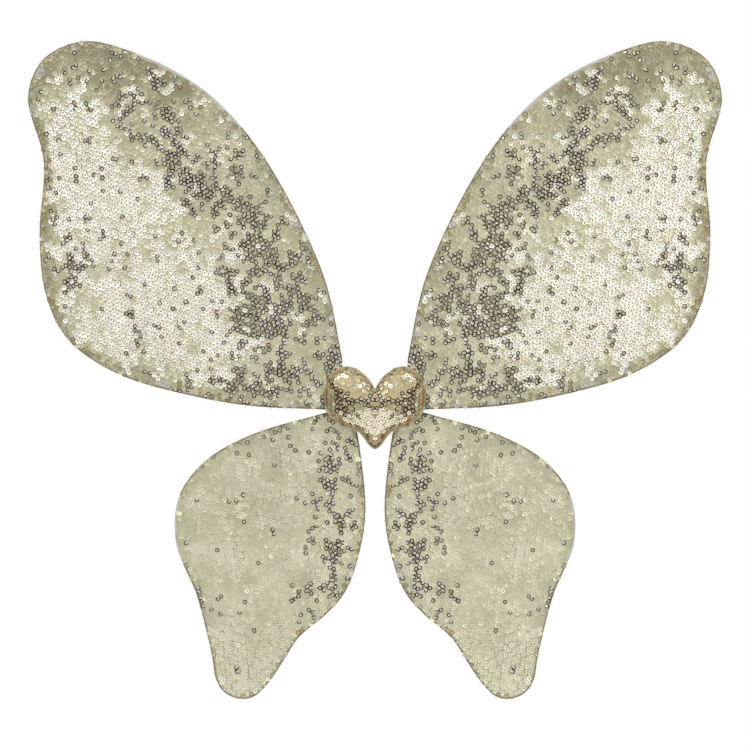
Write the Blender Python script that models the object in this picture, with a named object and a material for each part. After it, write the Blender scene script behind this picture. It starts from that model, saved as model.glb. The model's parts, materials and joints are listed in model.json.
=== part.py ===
"""Child's dress-up fairy wings: four sequinned wings on bendable wire loops, joined behind a padded
heart, with a felt pad and two elastic arm loops on the wearer's side.

Metres, +Z up. The sequinned side faces -Y and the wearer is on the +Y side. The origin is the middle of
the back pad's outer face. Outlines are given in millimetres as (distance from the middle, height), for
the right-hand side, and are mirrored for the left.
"""

import math

import bmesh
import bpy
from mathutils import Vector

MM = 0.001

# Thickness of the stack behind the heart, as distances in front of the pad's outer face (mm).
PAD_THICK = 3.2
PAD_HALF_WIDTH = 14.0
PAD_TOP = 9.5
PAD_BOTTOM = -15.0
PAD_CORNER = 6.0
LINING_FLAP = (3.6, 4.4)
WIRE_PLANE = 6.5
ROOT_CLOTH = (8.6, 10.0)
HEART_BACKING = (10.3, 11.8)
HEART_RIM = 13.1
HEART_CROWN = 9.8

# The wings.
WIRE_RADIUS = 1.0
WIRE_SIDES = 6
WIRE_INSET = 2.6
LINING_INSET = 3.9
LINING_HALF_THICK = 0.4
CASING_LIP = 4.6
CASING_BACK = 0.3
CASING_SHOULDER = 1.2
CASING_OUTER = 1.8
CASING_INNER = 1.3
CASING_FOLD = 1.3
BEND_GAP = 1.5
BEND_DEPTH = 7.35
CURVE_STEP = 9.5
CURVE_DETAIL = 16
SHARP_ANGLE = 50

UPPER_OUTLINE = [
    (19, 20), (20.6, 29), (22.1, 37.4), (32.4, 81.5), (66.5, 150.5), (98, 189.5), (127, 210), (156, 222.3),
    (182, 227.6), (207, 216.8), (217, 193.5), (207.3, 153), (209.8, 105), (205.6, 68), (192, 41),
    (161, 19.6), (111, 5), (75, -0.8), (42, -2.4), (31.5, -2.8), (22, -3),
]
UPPER_HIDDEN = [(1.2, -2.2), (1.2, 8)]
UPPER_BEND = ((0.894, 0.447), 36.5)
LOWER_OUTLINE = [
    (22, -4.2), (31.5, -5), (37.1, -6.6), (77, -18.5), (106, -35), (122.5, -57), (124.5, -86),
    (111.5, -119), (102.5, -154), (97.8, -175.5), (88.5, -183), (76, -182.6), (64, -170), (47, -144.5),
    (34.7, -134.5), (19.2, -117.8), (10, -93), (6, -66), (10, -23.7), (11.4, -15.4), (12, -10),
]
LOWER_HIDDEN = [(1.2, -9), (1.2, -4.6)]
LOWER_BEND = ((0.537, -0.843), 25.5)

# The legs of each wire loop, run in behind the heart and turned back in a hairpin.
HAIRPIN_END = 4.5
HAIRPIN_STEPS = 4
UPPER_TAIL_IN = [(22.5, 22), (17.5, 9.5), (12.5, 5.2), (9, 3.9)]
UPPER_TAIL_OUT = [(9, 1.3), (16, 1.0), (27, 0.2)]
LOWER_TAIL_IN = [(24, -6.2), (15, -2.4), (9, -1.3)]
LOWER_TAIL_OUT = [(9, -3.9), (12, -7), (13.6, -13)]
TAIL_STEP = 3.5

# The tape wound round the four hairpins.
BINDING_HALF_LENGTH = 8.0
BINDING_HALF_HEIGHT = 6.2
BINDING_HALF_THICK = 1.75
BINDING_WALL = 0.45
BINDING_CORNER = 1.6
BINDING_INNER_CORNER = 0.5

# The heart.
HEART_CENTRE = (0, -2)
HEART_OUTLINE = [
    (0, 10.2), (2.8, 14.8), (8.3, 20.8), (17, 24.8), (25, 22.4), (30.6, 16.4), (32.5, 7), (30.6, -4.6),
    (22, -12.4), (11, -16.8), (5.6, -22.8), (2.6, -27), (0, -28.1),
]
HEART_POINTS = 20
COVER_SCALE = 0.97
COVER_INNER_SCALE = 0.937
COVER_THICK = 0.9
WADDING_SCALE = 0.895
WADDING_GAP = 0.8
TOUCH_GAP = 0.3
BACKING_SCALE = 0.78
TRIM_SCALE = 0.9625
TRIM_RADIUS = 1.2
TRIM_DEPTH = 11.6
TRIM_SIDES = 6
DOME_RINGS = (1.0, 0.97, 0.88, 0.72, 0.5, 0.25)
DOME_SPREAD = 2.4
DOME_CROWN = 0.55

# The arm loops: flat elastic, hanging in a drop shape from a stitched tab beside the pad.
STRAP_X = 24.0
STRAP_WIDTH = 10.0
STRAP_THICK = 1.2
STRAP_ANCHOR = (-2.4, -7.2)
STRAP_PATH = [
    (-2.4, -8), (-1.6, -14), (-1.2, -40), (-0.6, -66), (3, -90), (12, -103), (24, -105.5), (34.5, -97),
    (38.5, -80), (34, -58), (22, -36), (8, -17.5), (1.2, -10),
]
STRAP_STEP = 6.0
TAB_INNER = 14.8
TAB_OUTER = 29.6
TAB_TOP = 9.0
TAB_BOTTOM = -5.2
TAB_DEPTH = (1.7, 3.2)
TAB_CORNER = 1.5


# ---------------------------------------------------------------- curves in the plane of the wings

def through(points, closed=False):
    """A smooth curve through the points, as a dense list of positions."""
    pts = [Vector(p) for p in points]
    count = len(pts)
    spans = count if closed else count - 1
    dense = []
    for i in range(spans):
        here = pts[i]
        there = pts[(i + 1) % count]
        before = pts[i - 1] if closed or i > 0 else here * 2 - there
        after = pts[(i + 2) % count] if closed or i + 2 < count else there * 2 - here
        dense += [catmull(before, here, there, after, t / CURVE_DETAIL) for t in range(CURVE_DETAIL)]
    if not closed:
        dense.append(pts[-1])
    return dense


def catmull(p0, p1, p2, p3, t):
    """Centripetal Catmull-Rom between p1 and p2."""
    k1 = math.sqrt((p1 - p0).length)
    k2 = k1 + math.sqrt((p2 - p1).length)
    k3 = k2 + math.sqrt((p3 - p2).length)
    s = k1 + (k2 - k1) * t
    a = p0.lerp(p1, s / k1)
    b = p1.lerp(p2, (s - k1) / (k2 - k1))
    c = p2.lerp(p3, (s - k2) / (k3 - k2))
    d = a.lerp(b, s / k2)
    e = b.lerp(c, (s - k1) / (k3 - k1))
    return d.lerp(e, (s - k1) / (k2 - k1))


def evenly(dense, step, closed=False):
    """The dense curve again, with its points the same distance apart and about step long."""
    run = list(dense) + ([dense[0]] if closed else [])
    total = sum((b - a).length for a, b in zip(run, run[1:]))
    count = max(2, round(total / step))
    want = [total * i / count for i in range(count + (0 if closed else 1))]
    out = []
    done = 0.0
    for a, b in zip(run, run[1:]):
        length = (b - a).length
        while len(out) < len(want) and want[len(out)] <= done + length + 1e-9:
            out.append(a.lerp(b, (want[len(out)] - done) / length))
        done += length
    return out


def side_of(curve, closed=False):
    """The unit normal to the right of the direction of travel at each point."""
    count = len(curve)
    normals = []
    for i in range(count):
        ahead = curve[(i + 1) % count] if closed or i + 1 < count else curve[i]
        behind = curve[i - 1] if closed or i > 0 else curve[i]
        along = (ahead - behind).normalized()
        normals.append(Vector((along.y, -along.x)))
    return normals


def inset(curve, distance):
    return [p + n * distance for p, n in zip(curve, side_of(curve))]


def beyond(curve, bend, offset):
    """The stretch of an open curve on the wing's side of its bend line, cut clean at the line."""
    normal, reach = bend
    normal = Vector(normal)
    limit = reach + offset
    out = []
    for a, b in zip(curve, curve[1:]):
        da = a.dot(normal) - limit
        db = b.dot(normal) - limit
        if da >= 0:
            out.append(a)
        if da * db < 0:
            out.append(a.lerp(b, da / (da - db)))
    if curve[-1].dot(normal) >= limit:
        out.append(curve[-1])
    return out


def before_bend(curve, bend, offset):
    """The two ends of an open curve on the heart's side of its bend line."""
    normal, reach = bend
    normal = Vector(normal)
    limit = reach - offset
    ends = []
    for run in (curve, curve[::-1]):
        end = []
        for a, b in zip(run, run[1:]):
            end.append(a)
            da = a.dot(normal) - limit
            db = b.dot(normal) - limit
            if db > 0:
                end.append(a.lerp(b, da / (da - db)))
                break
        ends.append(end)
    return ends


# ---------------------------------------------------------------- solids

def mesh_of(name, verts, faces):
    """A mesh in millimetres turned into metres, with its faces pointing out."""
    bm = bmesh.new()
    made = [bm.verts.new(Vector(v) * MM) for v in verts]
    for face in faces:
        bm.faces.new([made[i] for i in face])
    bmesh.ops.recalc_face_normals(bm, faces=bm.faces)
    mesh = bpy.data.meshes.new(name)
    bm.to_mesh(mesh)
    bm.free()
    return mesh


def plate(outline, near, far):
    """An outline in the plane of the wings, made solid between two depths."""
    count = len(outline)
    verts = [(p.x, -near, p.y) for p in outline] + [(p.x, -far, p.y) for p in outline]
    faces = [tuple(range(count)), tuple(range(2 * count - 1, count - 1, -1))]
    faces += [(i, (i + 1) % count, count + (i + 1) % count, count + i) for i in range(count)]
    return verts, faces


def sweep(rings, closed=False):
    """Quads between rings of the same number of points, with the two ends filled unless closed."""
    size = len(rings[0])
    verts = [v for ring in rings for v in ring]
    faces = []
    spans = len(rings) if closed else len(rings) - 1
    for r in range(spans):
        a = r * size
        b = (r + 1) % len(rings) * size
        faces += [(a + i, a + (i + 1) % size, b + (i + 1) % size, b + i) for i in range(size)]
    if not closed:
        last = (len(rings) - 1) * size
        faces += [tuple(range(size)), tuple(last + i for i in range(size - 1, -1, -1))]
    return verts, faces


def along_plane(curve, section, closed=False):
    """A section of (inset, forward) points carried along a curve in the plane of the wings."""
    rings = []
    for p, n in zip(curve, side_of(curve, closed)):
        rings.append([(p.x + n.x * u, -(WIRE_PLANE + f), p.y + n.y * u) for u, f in section])
    return sweep(rings, closed)


def circle(radius, sides, inwards=0.0, forward=0.0):
    turns = [2 * math.pi * (i + 0.5) / sides for i in range(sides)]
    return [(inwards + radius * math.cos(t), forward + radius * math.sin(t)) for t in turns]


def mirrored(shape, side):
    verts, faces = shape
    return [(side * x, y, z) for x, y, z in verts], faces


def merged_stack(rings, top):
    """A closed form: a flat base ring, rings above it, and one point at the top."""
    size = len(rings[0])
    verts = [v for ring in rings for v in ring] + [top]
    faces = [tuple(range(size - 1, -1, -1))]
    for r in range(len(rings) - 1):
        a = r * size
        b = a + size
        faces += [(a + i, a + (i + 1) % size, b + (i + 1) % size, b + i) for i in range(size)]
    last = (len(rings) - 1) * size
    faces += [(last + i, last + (i + 1) % size, len(verts) - 1) for i in range(size)]
    return verts, faces


# ---------------------------------------------------------------- materials and objects

FINISHES = {
    "sequin": ((0.72, 0.66, 0.5), 0.28, 0.85),
    "thread": ((0.52, 0.38, 0.18), 0.6, 0.0),
    "satin": ((0.66, 0.66, 0.68), 0.45, 0.0),
    "lining": ((0.82, 0.79, 0.7), 0.8, 0.0),
    "wire": ((0.85, 0.85, 0.83), 0.35, 0.0),
    "tape": ((0.86, 0.83, 0.75), 0.85, 0.0),
    "felt": ((0.84, 0.8, 0.7), 0.95, 0.0),
    "wadding": ((0.94, 0.94, 0.93), 0.95, 0.0),
    "elastic": ((0.88, 0.86, 0.8), 0.7, 0.0),
}


def make_material(name, colour, roughness, metallic):
    material = bpy.data.materials.new(name)
    material.use_nodes = True
    shader = material.node_tree.nodes["Principled BSDF"]
    shader.inputs["Base Color"].default_value = (*colour, 1)
    shader.inputs["Roughness"].default_value = roughness
    shader.inputs["Metallic"].default_value = metallic
    return material


def add_pivot(name, at):
    """An empty on a joint's axis, which carries the pieces that turn with it."""
    pivot = bpy.data.objects.new(name, None)
    pivot.location = Vector(at) * MM
    pivot.empty_display_size = 0.02
    bpy.context.collection.objects.link(pivot)
    return pivot


def add(name, material, shape, pivot=None, smooth=False):
    verts, faces = shape
    origin = pivot.location / MM if pivot else Vector()
    mesh = mesh_of(name, [Vector(v) - origin for v in verts], faces)
    mesh.materials.append(materials[material])
    if smooth:
        mesh.shade_smooth()
        mesh.set_sharp_from_angle(angle=math.radians(SHARP_ANGLE))
    piece = bpy.data.objects.new(name, mesh)
    piece.parent = pivot
    bpy.context.collection.objects.link(piece)
    return piece


# ---------------------------------------------------------------- the wings

def casing_section():
    """The folded tape that holds the wire: a channel that opens towards the middle of the wing."""
    return [
        (CASING_LIP, CASING_OUTER), (CASING_SHOULDER, CASING_OUTER), (CASING_BACK, 0),
        (CASING_SHOULDER, -CASING_OUTER), (CASING_LIP, -CASING_OUTER), (CASING_LIP, -CASING_INNER),
        (CASING_FOLD, -CASING_INNER), (CASING_FOLD, CASING_INNER),
        (CASING_LIP, CASING_INNER),
    ]


def hairpin(start, finish):
    """The half turn of a wire loop nearest the middle, from one height to the other."""
    middle = (start + finish) / 2
    radius = (start - finish) / 2
    turn = []
    for i in range(HAIRPIN_STEPS + 1):
        angle = math.pi * (0.5 + i / HAIRPIN_STEPS)
        turn.append((HAIRPIN_END + abs(radius) * math.cos(angle), middle + radius * math.sin(angle)))
    return turn


def wing(name, side, outline, hidden, bend, tail_in, tail_out):
    """One wing beyond its bend line, and its root between the bend line and the heart."""
    normal, reach = bend
    pivot = add_pivot(name + "_bend", (side * normal[0] * reach, -BEND_DEPTH, normal[1] * reach))
    edge = through(outline)
    edge_points = evenly(edge, CURVE_STEP)

    cloth = beyond(edge_points, bend, BEND_GAP)
    add(name + "_front_cloth", "sequin", mirrored(plate(cloth, *ROOT_CLOTH), side), pivot)

    casing = mirrored(along_plane(cloth, casing_section()), side)
    add(name + "_wire_casing", "satin", casing, pivot, smooth=True)

    wire_line = inset(edge_points, WIRE_INSET)
    wire = beyond(wire_line, bend, BEND_GAP)
    round_wire = circle(WIRE_RADIUS, WIRE_SIDES)
    add(name + "_frame_wire", "wire", mirrored(along_plane(wire, round_wire), side), pivot, smooth=True)

    lining = beyond(inset(edge_points, LINING_INSET), bend, BEND_GAP)
    depths = (WIRE_PLANE - LINING_HALF_THICK, WIRE_PLANE + LINING_HALF_THICK)
    add(name + "_lining", "lining", mirrored(plate(lining, *depths), side), pivot)

    start, finish = before_bend(edge_points, bend, BEND_GAP)
    corners = [Vector(p) for p in hidden]
    root = start[::-1] + corners[::-1] + finish
    add(name + "_root_cloth", "sequin", mirrored(plate(root, *ROOT_CLOTH), side))
    add(name + "_root_lining", "lining", mirrored(plate(root, *LINING_FLAP), side))

    first = before_bend(wire_line, bend, BEND_GAP)[0][-1]
    last = before_bend(wire_line, bend, BEND_GAP)[1][-1]
    legs = [first] + tail_in + hairpin(tail_in[-1][1], tail_out[0][1]) + tail_out + [last]
    tail = evenly(through(legs), TAIL_STEP)
    add(name + "_wire_tail", "wire", mirrored(along_plane(tail, round_wire), side), smooth=True)


# ---------------------------------------------------------------- the middle

def heart_ring(scale, depth):
    """The heart's outline, scaled about its middle, at a distance in front of the pad's face."""
    centre = Vector(HEART_CENTRE)
    return [(p.x, -depth, p.y) for p in (centre + (q - centre) * scale for q in heart_points)]


def heart_profile():
    """The whole outline: the right half and its mirror image, clockwise from the notch."""
    half = through(HEART_OUTLINE)
    length = sum((b - a).length for a, b in zip(half, half[1:]))
    half = evenly(half, length / HEART_POINTS)
    return half + [Vector((-p.x, p.y)) for p in half[-2:0:-1]]


def dome_height(ring):
    """How far the padding stands up at a ring, from 1 at the middle to 0 at the edge."""
    return (1 - ring ** DOME_SPREAD) ** DOME_CROWN


def dome_rings(scale, rim, height):
    return [heart_ring(scale * ring, rim + height * dome_height(ring)) for ring in DOME_RINGS]


def heart_top(depth):
    return (HEART_CENTRE[0], -depth, HEART_CENTRE[1])


def add_heart():
    outer = dome_rings(COVER_SCALE, HEART_RIM, HEART_CROWN)
    inner_height = HEART_CROWN - COVER_THICK
    inner = dome_rings(COVER_INNER_SCALE, HEART_RIM, inner_height)
    size = len(outer[0])
    rings = inner[::-1] + outer
    verts = [v for ring in rings for v in ring]
    verts += [heart_top(HEART_RIM + inner_height), heart_top(HEART_RIM + HEART_CROWN)]
    faces = []
    for r in range(len(rings) - 1):
        a = r * size
        b = a + size
        faces += [(a + i, a + (i + 1) % size, b + (i + 1) % size, b + i) for i in range(size)]
    last = (len(rings) - 1) * size
    faces += [(i, (i + 1) % size, len(verts) - 2) for i in range(size)]
    faces += [(last + i, last + (i + 1) % size, len(verts) - 1) for i in range(size)]
    add("heart_cover", "sequin", (verts, faces), smooth=True)

    wadding_height = inner_height - WADDING_GAP
    base = heart_ring(BACKING_SCALE, HEART_BACKING[1] + TOUCH_GAP)
    filling = [base] + dome_rings(WADDING_SCALE, HEART_RIM, wadding_height)
    wadding = merged_stack(filling, heart_top(HEART_RIM + wadding_height))
    add("heart_wadding", "wadding", wadding, smooth=True)

    centre = Vector(HEART_CENTRE)
    backing = [centre + (p - centre) * BACKING_SCALE for p in heart_points]
    add("heart_backing", "felt", plate(backing, *HEART_BACKING))

    edge = [centre + (p - centre) * TRIM_SCALE for p in heart_points]
    roll = circle(TRIM_RADIUS, TRIM_SIDES, forward=TRIM_DEPTH - WIRE_PLANE)
    add("heart_edge_trim", "thread", along_plane(edge, roll, closed=True), smooth=True)


def rounded_box(left, right, bottom, top, corner, steps=3):
    outline = []
    corners = [(right, top, 0), (left, top, 90), (left, bottom, 180), (right, bottom, 270)]
    for x, z, start in corners:
        cx = x - math.copysign(corner, x - (left + right) / 2)
        cz = z - math.copysign(corner, z - (bottom + top) / 2)
        for i in range(steps + 1):
            angle = math.radians(start + 90 * i / steps)
            outline.append(Vector((cx + corner * math.cos(angle), cz + corner * math.sin(angle))))
    return outline


def add_back_pad():
    pad = rounded_box(-PAD_HALF_WIDTH, PAD_HALF_WIDTH, PAD_BOTTOM, PAD_TOP, PAD_CORNER)
    add("back_pad", "felt", plate(pad, 0, PAD_THICK))


def add_centre_binding():
    """A flattened tube, open at both ends, round the hairpins of all four wires."""
    high = BINDING_HALF_HEIGHT
    thick = BINDING_HALF_THICK
    outer = rounded_box(-thick, thick, -high, high, BINDING_CORNER)
    inner = rounded_box(
        -thick + BINDING_WALL, thick - BINDING_WALL,
        -high + BINDING_WALL, high - BINDING_WALL, BINDING_INNER_CORNER,
    )
    half = BINDING_HALF_LENGTH
    rings = []
    for x, profile in ((-half, inner), (-half, outer), (half, outer), (half, inner)):
        rings.append([(x, -(WIRE_PLANE + p.x), p.y) for p in profile])
    add("centre_binding", "tape", sweep(rings, closed=True), smooth=True)


# ---------------------------------------------------------------- the arm loops

def strap(name, side):
    pivot = add_pivot(name + "_swing", (side * STRAP_X, STRAP_ANCHOR[0], STRAP_ANCHOR[1]))
    loop = evenly(through(STRAP_PATH, closed=True), STRAP_STEP, closed=True)
    rings = []
    for p, n in zip(loop, side_of(loop, closed=True)):
        out = p + n * (STRAP_THICK / 2)
        into = p - n * (STRAP_THICK / 2)
        near = side * (STRAP_X - STRAP_WIDTH / 2)
        far = side * (STRAP_X + STRAP_WIDTH / 2)
        outer_edge = [(near, out.x, out.y), (far, out.x, out.y)]
        inner_edge = [(far, into.x, into.y), (near, into.x, into.y)]
        rings.append(outer_edge + inner_edge)
    add(name, "elastic", sweep(rings, closed=True), pivot, smooth=True)

    tab = rounded_box(TAB_INNER, TAB_OUTER, TAB_BOTTOM, TAB_TOP, TAB_CORNER, steps=2)
    add(name + "_tab", "felt", mirrored(plate(tab, *TAB_DEPTH), side))


for old in list(bpy.data.objects):
    bpy.data.objects.remove(old, do_unlink=True)

materials = {name: make_material(name, *finish) for name, finish in FINISHES.items()}
heart_points = heart_profile()

for side_name, side_sign in (("right", 1), ("left", -1)):
    wing(
        "upper_" + side_name, side_sign, UPPER_OUTLINE, UPPER_HIDDEN, UPPER_BEND,
        UPPER_TAIL_IN, UPPER_TAIL_OUT,
    )
    wing(
        "lower_" + side_name, side_sign, LOWER_OUTLINE, LOWER_HIDDEN, LOWER_BEND,
        LOWER_TAIL_IN, LOWER_TAIL_OUT,
    )
    strap(side_name + "_strap", side_sign)
add_heart()
add_back_pad()
add_centre_binding()
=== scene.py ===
"""Looks for the sequinned fairy wings: cloth, sequins, satin edges, padded heart, felt pad, elastic.

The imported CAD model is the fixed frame. Helpers work in millimetres: a place is (x, depth, z), where
depth is the distance in front of the back pad's outer face, towards -Y. Meshes are made in metres.
Wings are worked out for the right-hand side and mirrored for the left.
"""

import json
import math
import random

import bmesh
import bpy
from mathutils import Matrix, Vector, geometry, kdtree, noise
from mathutils.bvhtree import BVHTree
from statistics import NormalDist


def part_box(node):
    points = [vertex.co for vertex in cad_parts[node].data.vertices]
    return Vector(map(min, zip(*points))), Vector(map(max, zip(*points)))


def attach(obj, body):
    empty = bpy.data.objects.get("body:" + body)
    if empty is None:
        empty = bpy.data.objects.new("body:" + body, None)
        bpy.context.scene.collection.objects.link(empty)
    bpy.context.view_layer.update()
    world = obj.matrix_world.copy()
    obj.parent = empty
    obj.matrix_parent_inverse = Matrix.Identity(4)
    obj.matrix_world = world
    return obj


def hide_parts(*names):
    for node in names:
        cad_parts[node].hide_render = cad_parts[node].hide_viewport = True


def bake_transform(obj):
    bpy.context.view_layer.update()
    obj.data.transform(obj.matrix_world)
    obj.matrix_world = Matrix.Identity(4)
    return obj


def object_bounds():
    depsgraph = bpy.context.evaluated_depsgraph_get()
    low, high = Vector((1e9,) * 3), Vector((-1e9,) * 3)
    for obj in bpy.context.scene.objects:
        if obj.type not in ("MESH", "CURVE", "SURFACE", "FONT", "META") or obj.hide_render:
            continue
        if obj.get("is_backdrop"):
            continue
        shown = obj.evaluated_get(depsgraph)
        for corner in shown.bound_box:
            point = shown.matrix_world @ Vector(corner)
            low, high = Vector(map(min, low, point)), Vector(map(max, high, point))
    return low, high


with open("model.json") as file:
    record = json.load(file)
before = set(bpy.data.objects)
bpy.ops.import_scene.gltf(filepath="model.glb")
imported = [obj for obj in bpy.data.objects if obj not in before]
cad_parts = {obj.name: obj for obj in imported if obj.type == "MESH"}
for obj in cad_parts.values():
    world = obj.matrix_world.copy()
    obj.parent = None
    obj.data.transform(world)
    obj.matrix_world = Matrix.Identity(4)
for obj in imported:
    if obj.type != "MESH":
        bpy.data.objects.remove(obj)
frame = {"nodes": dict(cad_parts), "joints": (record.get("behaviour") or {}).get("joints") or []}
cad_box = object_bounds()

MM = 0.001
NORMAL = NormalDist()

# ---------------------------------------------------------------- the camera and the studio

VIEW_DISTANCE = 2.4
VIEW_WIDTH = 0.46875
VIEW_HEIGHT = 0.01875
SENSOR = 36.0
FLOOR_DROP = 0.11
FLOOR_RADIUS = 0.7


def add_camera():
    camera = bpy.data.objects.new("camera", bpy.data.cameras.new("camera"))
    sequin_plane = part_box("upper_right_front_cloth")[0].y
    camera.location = (0, sequin_plane - VIEW_DISTANCE, VIEW_HEIGHT)
    camera.rotation_euler = (math.pi / 2, 0, 0)
    camera.data.sensor_width = SENSOR
    camera.data.lens = SENSOR * VIEW_DISTANCE / VIEW_WIDTH
    camera.data.clip_end = 20
    bpy.context.scene.collection.objects.link(camera)
    bpy.context.scene.camera = camera


def add_world():
    """White behind everything; a soft studio gradient for light and reflections."""
    world = bpy.data.worlds.new("studio")
    world.use_nodes = True
    tree = world.node_tree
    tree.nodes.clear()
    output = tree.nodes.new("ShaderNodeOutputWorld")
    mix = tree.nodes.new("ShaderNodeMixShader")
    path = tree.nodes.new("ShaderNodeLightPath")
    backdrop = tree.nodes.new("ShaderNodeBackground")
    backdrop.inputs["Color"].default_value = (1, 1, 1, 1)
    soft = tree.nodes.new("ShaderNodeBackground")
    place = tree.nodes.new("ShaderNodeTexCoord")
    split = tree.nodes.new("ShaderNodeSeparateXYZ")
    ramp = tree.nodes.new("ShaderNodeMapRange")
    ramp.inputs["From Min"].default_value = -1
    ramp.inputs["From Max"].default_value = 1
    ramp.inputs["To Min"].default_value = 0.72
    ramp.inputs["To Max"].default_value = 1.08
    tree.links.new(place.outputs["Generated"], split.inputs[0])
    tree.links.new(split.outputs["Z"], ramp.inputs["Value"])
    tree.links.new(ramp.outputs["Result"], soft.inputs["Strength"])
    tree.links.new(path.outputs["Is Camera Ray"], mix.inputs["Fac"])
    tree.links.new(soft.outputs[0], mix.inputs[1])
    tree.links.new(backdrop.outputs[0], mix.inputs[2])
    tree.links.new(mix.outputs[0], output.inputs["Surface"])
    bpy.context.scene.world = world


def add_light(name, place, size, power):
    data = bpy.data.lights.new(name, "AREA")
    data.size = size
    data.energy = power
    light = bpy.data.objects.new(name, data)
    light.location = place
    light.rotation_euler = (Vector((0, 0, 0.02)) - Vector(place)).to_track_quat("-Z", "Y").to_euler()
    bpy.context.scene.collection.objects.link(light)


def add_floor():
    bm = bmesh.new()
    bmesh.ops.create_circle(bm, cap_ends=True, segments=96, radius=FLOOR_RADIUS)
    mesh = bpy.data.meshes.new("floor")
    bm.to_mesh(mesh)
    bm.free()
    floor = bpy.data.objects.new("floor", mesh)
    floor.location.z = cad_box[0][2] - FLOOR_DROP
    bpy.context.scene.collection.objects.link(floor)
    mesh.materials.append(new_material("floor", (0.86, 0.86, 0.85), 0.9)[0])
    floor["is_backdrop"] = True


# ---------------------------------------------------------------- materials

def linear(*srgb):
    """An sRGB colour in 0-255 as the linear values that shaders take."""
    channels = [v / 255 for v in srgb]
    return tuple(v / 12.92 if v <= 0.04045 else ((v + 0.055) / 1.055) ** 2.4 for v in channels)


def new_material(name, colour, roughness, metallic=0.0, **sockets):
    material = bpy.data.materials.new(name)
    material.use_nodes = True
    shader = material.node_tree.nodes["Principled BSDF"]
    shader.inputs["Base Color"].default_value = (*colour, 1)
    shader.inputs["Roughness"].default_value = roughness
    shader.inputs["Metallic"].default_value = metallic
    for socket, value in sockets.items():
        shader.inputs[socket.replace("_", " ")].default_value = value
    return material, shader


class Nodes:
    """A new material, with short ways to add nodes that read the piece's own coordinates."""

    def __init__(self, name, colour, roughness, metallic=0.0, **sockets):
        self.material, self.shader = new_material(name, colour, roughness, metallic, **sockets)
        self.tree = self.material.node_tree
        self.roughness = roughness
        self.place = self.add("TexCoord").outputs["Object"]

    def add(self, kind, **inputs):
        node = self.tree.nodes.new("ShaderNode" + kind)
        for socket, value in inputs.items():
            node.inputs[socket.replace("_", " ")].default_value = value
        return node

    def join(self, output, socket):
        self.tree.links.new(output, socket)

    def noise(self, scale, **inputs):
        node = self.add("TexNoise", Scale=scale, **inputs)
        self.join(self.place, node.inputs["Vector"])
        return node.outputs["Fac"]

    def threads(self, axis, scale):
        wave = self.add("TexWave", Scale=scale, Distortion=1.5, Detail=1.0, Detail_Scale=0.6)
        wave.bands_direction = axis
        self.join(self.place, wave.inputs["Vector"])
        return wave.outputs["Fac"]

    def sum_of(self, value, share, other):
        """value * share + other."""
        node = self.add("Math")
        node.operation = "MULTIPLY_ADD"
        node.inputs[1].default_value = share
        self.join(value, node.inputs[0])
        self.join(other, node.inputs[2])
        return node.outputs[0]

    def colours(self, value, low, dark, high, light):
        ramp = self.add("ValToRGB")
        for element, position, colour in zip(ramp.color_ramp.elements, (low, high), (dark, light)):
            element.position = position
            element.color = (*colour, 1)
        self.join(value, ramp.inputs["Fac"])
        self.join(ramp.outputs["Color"], self.shader.inputs["Base Color"])

    def dulled(self, value, less, more):
        rough = self.add("MapRange", To_Min=self.roughness - less, To_Max=self.roughness + more)
        self.join(value, rough.inputs["Value"])
        self.join(rough.outputs["Result"], self.shader.inputs["Roughness"])

    def raised(self, value, strength, distance):
        bump = self.add("Bump", Strength=strength, Distance=distance)
        self.join(value, bump.inputs["Height"])
        self.join(bump.outputs["Normal"], self.shader.inputs["Normal"])


def woven(name, dark, light, scale, roughness=0.8, bump=0.3, cloudy=90.0, rough_spread=0.1, **sockets):
    """A cloth whose colour, roughness and bump come from crossed threads and a soft, cloudy noise."""
    nodes = Nodes(name, light, roughness, **sockets)
    weave = nodes.add("Math")
    weave.operation = "MULTIPLY"
    for axis, socket in zip(("X", "Z"), weave.inputs):
        nodes.join(nodes.threads(axis, scale), socket)
    cloud = nodes.noise(cloudy, Detail=4.0)
    height = nodes.sum_of(weave.outputs[0], 0.55, cloud)
    nodes.colours(height, 0.3, dark, 0.9, light)
    nodes.dulled(cloud, rough_spread, rough_spread)
    nodes.raised(height, bump, 0.0004)
    return nodes.material


def fibrous(name, dark, light, roughness=0.95, fibre=900.0, patches=60.0, bump=0.5, **sockets):
    """Felt or wadding: short matted fibres over slow patches."""
    nodes = Nodes(name, light, roughness, **sockets)
    fibres = nodes.noise(fibre, Detail=6.0, Distortion=1.2)
    height = nodes.sum_of(fibres, 0.6, nodes.noise(patches))
    nodes.colours(height, 0.5, dark, 1.0, light)
    nodes.raised(height, bump, 0.0005)
    return nodes.material


def brushed(name, dark, light, roughness, metallic, scale):
    """Wire: fine drawing marks and a little dulling."""
    nodes = Nodes(name, light, roughness, metallic)
    marks = nodes.noise(scale, Detail=5.0)
    nodes.colours(marks, 0.35, dark, 0.7, light)
    nodes.dulled(marks, 0.1, 0.15)
    return nodes.material


def metallised(name, colour, roughness):
    """A sequin's coated film: one colour for each coating, dulled by fine scuffs.

    The colour stays a plain value, since a map would be too coarse for rims this narrow. It varies from
    sequin to sequin through the choice of coating.
    """
    nodes = Nodes(name, colour, roughness, SEQUIN_METAL)
    nodes.dulled(nodes.noise(SCUFF_SCALE, Detail=4.0), 0.08, 0.1)
    return nodes.material


SEQUIN_METAL = 0.85
SCUFF_SCALE = 2600.0

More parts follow.
